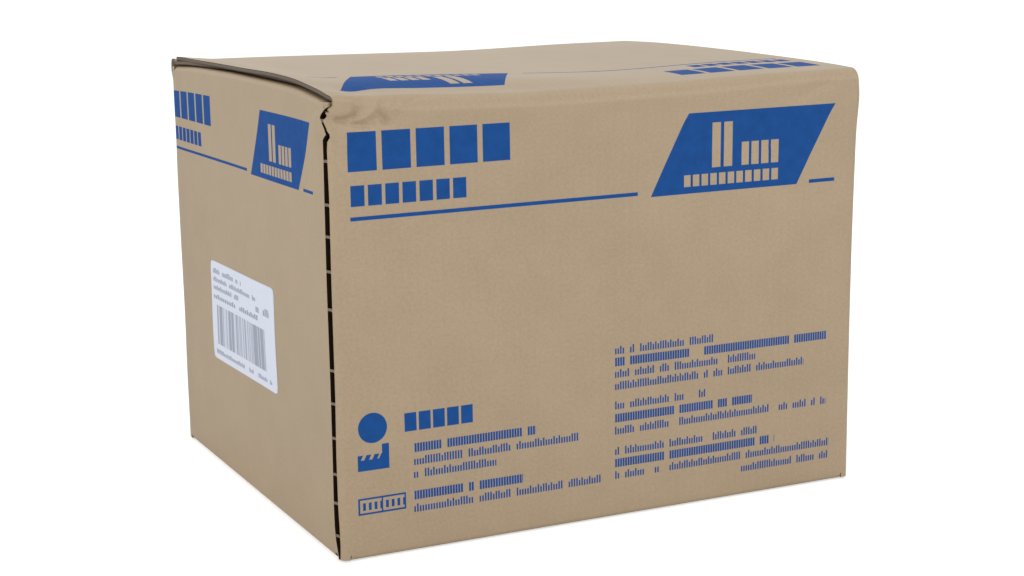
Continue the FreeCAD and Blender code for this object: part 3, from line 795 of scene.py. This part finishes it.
for vertex in left_piece.data.vertices:
    along, up = vertex.co.xy
    wall = back_wall if along < middle(INNER_SLOT) else left_wall
    place = Vector(folded(along, up, wall))
    rise = PRINT_RISE * (along - PRINT_LEVEL_AT)
    rise *= smooth((along - 590) / 34) * smooth((LEFT_END - along) / 8)
    place.z += rise * smooth((up - 8) / 60) * smooth((CREASE - up) / 8)
    # Near the slit the wall follows the slit's edge. The strip beside it stays where it is.
    near_slit = smooth(1 - (LEFT_END - along) / 6)
    if along < middle(SLIT_SLOT):
        near_slit *= smooth((up - 1.5) / 3) * (1 - smooth((up - CREASE) / 1.5))
    elif up > CREASE:
        across_strip = (along - SLIT_SLOT[1]) / (LEFT_END - SLIT_SLOT[1])
        near_slit = mix(near_slit, across_strip, smooth((up - CREASE) / 1.5))
    if near_slit > 0:
        before = around(along)
        after = around(along + (polyline(LEFT_CUT, up) - SLIT_LEFT) * near_slit)
        place += Vector((after[0] - before[0], after[1] - before[1], 0))
    # The inner flap's edge stands in from the wall towards the front, and its back tip a little up.
    if wall is back_wall and up > CREASE:
        place.x += 4 * smooth((up - 175) / 60) * smooth((along - 560) / 64)
        tip = smooth((along - 585) / 40) * smooth((up - 163) / 3) * (1 - smooth((up - 180) / 40))
        place.z += tip * (0.4 + smooth((place.y - 87.5) / 2.5))
    _, _, nx, ny = around(along)
    push = creased(along, up, LEFT_WRINKLES, LEFT_DENTS) * smooth((LEFT_END - along) / 6)
    push *= smooth((along - BACK_START) / 25) * smooth((170 - up) / 12)
    vertex.co = (place + Vector((nx, ny, 0)) * push) * MM
give_thickness(left_piece, side_finishes, (SLIT_SLOT[1] - 0.1, OUT))
bpy.ops.object.select_all(action="DESELECT")
right_piece.select_set(True)
left_piece.select_set(True)
bpy.context.view_layer.objects.active = left_piece
bpy.ops.object.join()
left_piece.name = left_piece.data.name = "walls_and_inner_flaps"
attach(left_piece, "carton")
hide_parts("carton_body")

# Paper label stuck on the left wall.
# Smooth white paper with rounded corners, printed with lines of small blocks and a row of bars.
LABEL_LENGTH, LABEL_HEIGHT = 80.0, 41.0
LABEL_TILT = math.radians(-1.0)
LABEL_CORNER = 2.0
LABEL_THICK, LABEL_PROUD = 0.12, 0.16
label_middle = [sum(corner[i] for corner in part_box("label")) / 2 for i in range(3)]
bpy.ops.object.select_all(action="DESELECT")
bpy.ops.mesh.primitive_grid_add(x_subdivisions=32, y_subdivisions=16, size=1)
label = bpy.context.object
label.name = label.data.name = "paper_label"
layer = label.data.uv_layers.active
layer.name = "sheet"
for loop in label.data.loops:
    spot = label.data.vertices[loop.vertex_index].co
    layer.data[loop.index].uv = ((spot.x + 0.5) * LABEL_LENGTH * MM, (spot.y + 0.5) * LABEL_HEIGHT * MM)
for vertex in label.data.vertices:
    x, z = vertex.co.x * LABEL_LENGTH, vertex.co.y * LABEL_HEIGHT
    # Rounded corners: points beyond the corner's circle are drawn in onto it.
    cx, cz = LABEL_LENGTH / 2 - LABEL_CORNER, LABEL_HEIGHT / 2 - LABEL_CORNER
    dx, dz = abs(x) - cx, abs(z) - cz
    if dx > 0 and dz > 0:
        reach = max(dx, dz) / math.hypot(dx, dz)
        x, z = math.copysign(cx + dx * reach, x), math.copysign(cz + dz * reach, z)
    back = label_middle[1] - (x * math.cos(LABEL_TILT) + z * math.sin(LABEL_TILT)) * MM
    rise = label_middle[2] + (-x * math.sin(LABEL_TILT) + z * math.cos(LABEL_TILT)) * MM
    along = LEFT_START + HALF_DEPTH - CORNER - back / MM
    push = creased(along, rise / MM, LEFT_WRINKLES, LEFT_DENTS)
    vertex.co = (-(HALF_WIDTH + push + LABEL_PROUD) * MM, back, rise)
bpy.context.view_layer.objects.active = label
solid = label.modifiers.new("paper", "SOLIDIFY")
solid.thickness, solid.offset = LABEL_THICK * MM, -1
bpy.ops.object.modifier_apply(modifier="paper")
label_paper, tree, shader = new_material("label_paper", 0.5)
place = sheet_place(tree, "sheet")
mask = 0.0
for number, (left, right, bottom, top, pitch) in enumerate((
        (3.0, 40.0, 36.0, 38.2, 1.5), (3.0, 58.0, 32.6, 34.6, 1.5), (3.0, 36.0, 29.2, 31.2, 1.5),
        (58.0, 74.0, 28.6, 31.6, 2.2), (3.0, 62.0, 25.4, 27.4, 2.4), (4.0, 76.0, 2.4, 4.2, 1.4))):
    row = use_group(tree, "printed_blocks", {
        "Place": place, "Sides": (left, right, bottom), "Blocks": (top, pitch, 0.72),
        "Chance": (9.0 + 31 * number, 0.18, 0.0)})["Mask"]
    mask = calc(tree, "MAXIMUM", mask, row)
stripe = add(tree, "ShaderNodeTexWhiteNoise", {"W": calc(tree, "FLOOR", calc(
    tree, "MULTIPLY", split(tree, place)[0], 1.35))}, noise_dimensions="1D").outputs["Value"]
field = use_group(tree, "printed_blocks", {
    "Place": place, "Sides": (6.5, 68.0, 6.6), "Blocks": (23.0, WHOLE, 1.0),
    "Chance": (0.0, NONE_OUT, 1.0)})["Mask"]
dark = calc(tree, "MULTIPLY_ADD", calc(tree, "GREATER_THAN", stripe, 0.42), 0.65, 0.25)
mask = calc(tree, "MAXIMUM", mask, calc(tree, "MULTIPLY", dark, field))
cloudy = calc(tree, "MULTIPLY_ADD", noise_of(tree, place, 0.5, 3.0), 0.08, 0.96)
paper = scaled(tree, (0.785, 0.83, 0.96), cloudy)
tint = blend_of(tree, calc(tree, "MULTIPLY", mask, 0.75), paper, (0.16, 0.19, 0.27, 1))
tree.links.new(tint, shader.inputs["Base Color"])
shader.inputs["Specular IOR Level"].default_value = 0.4
label.data.materials.append(label_paper)
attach(label, "carton")
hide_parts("label")

# Studio: a plain white floor, soft light from all round and from above, and the camera.
FLOOR_GLOW, WORLD_LIGHT = 0.54, 0.62
bpy.ops.object.select_all(action="DESELECT")
bpy.ops.mesh.primitive_plane_add(size=30, location=(0, 0, -0.0004))
floor = bpy.context.object
floor.name = "studio_floor"
white, tree, shader = new_material("studio_white")
shader.inputs["Base Color"].default_value = (0.86, 0.86, 0.86, 1)
shader.inputs["Specular IOR Level"].default_value = 0.1
shader.inputs["Emission Color"].default_value = (1, 1, 1, 1)
seen = add(tree, "ShaderNodeLightPath").outputs["Is Camera Ray"]
tree.links.new(calc(tree, "MULTIPLY", seen, FLOOR_GLOW), shader.inputs["Emission Strength"])
floor.data.materials.append(white)

world = bpy.data.worlds.new("studio")
bpy.context.scene.world = world
world.use_nodes = True
tree = world.node_tree
tree.nodes.clear()
paths = add(tree, "ShaderNodeLightPath").outputs
direct = calc(tree, "MAXIMUM", paths["Is Camera Ray"], paths["Is Glossy Ray"])
direct = calc(tree, "MAXIMUM", direct, paths["Is Transmission Ray"])
backdrop = add(tree, "ShaderNodeBackground", {
    "Color": (1, 1, 1, 1), "Strength": calc(tree, "MULTIPLY_ADD", direct, 1 - WORLD_LIGHT, WORLD_LIGHT)})
add(tree, "ShaderNodeOutputWorld", {"Surface": backdrop.outputs[0]})


def softbox(name, place, aim, size, watts):
    light = bpy.data.lights.new(name, "AREA")
    light.size, light.energy = size, watts
    box = bpy.data.objects.new(name, light)
    box.location = place
    box.rotation_euler = (Vector(aim) - Vector(place)).to_track_quat("-Z", "Y").to_euler()
    bpy.context.collection.objects.link(box)


softbox("softbox_above", (0.1, 0.1, 1.6), (0, 0, 0.1), 1.4, 2.5)
softbox("softbox_left", (-1.8, -0.5, 0.8), (0, 0, 0.08), 1.0, 8.5)
softbox("softbox_front", (0.9, -1.8, 0.8), (0, 0, 0.08), 1.2, 9.2)

camera = bpy.data.objects.new("camera", bpy.data.cameras.new("camera"))
camera.data.lens, camera.data.sensor_width = 66.84, 36
camera.location = (-0.33253, -0.70116, 0.22737)
camera.rotation_euler = [math.radians(angle) for angle in (78.69915, 0.83420, -25.88330)]
bpy.context.collection.objects.link(camera)
bpy.context.scene.camera = camera
bpy.context.scene.view_settings.view_transform = "Standard"
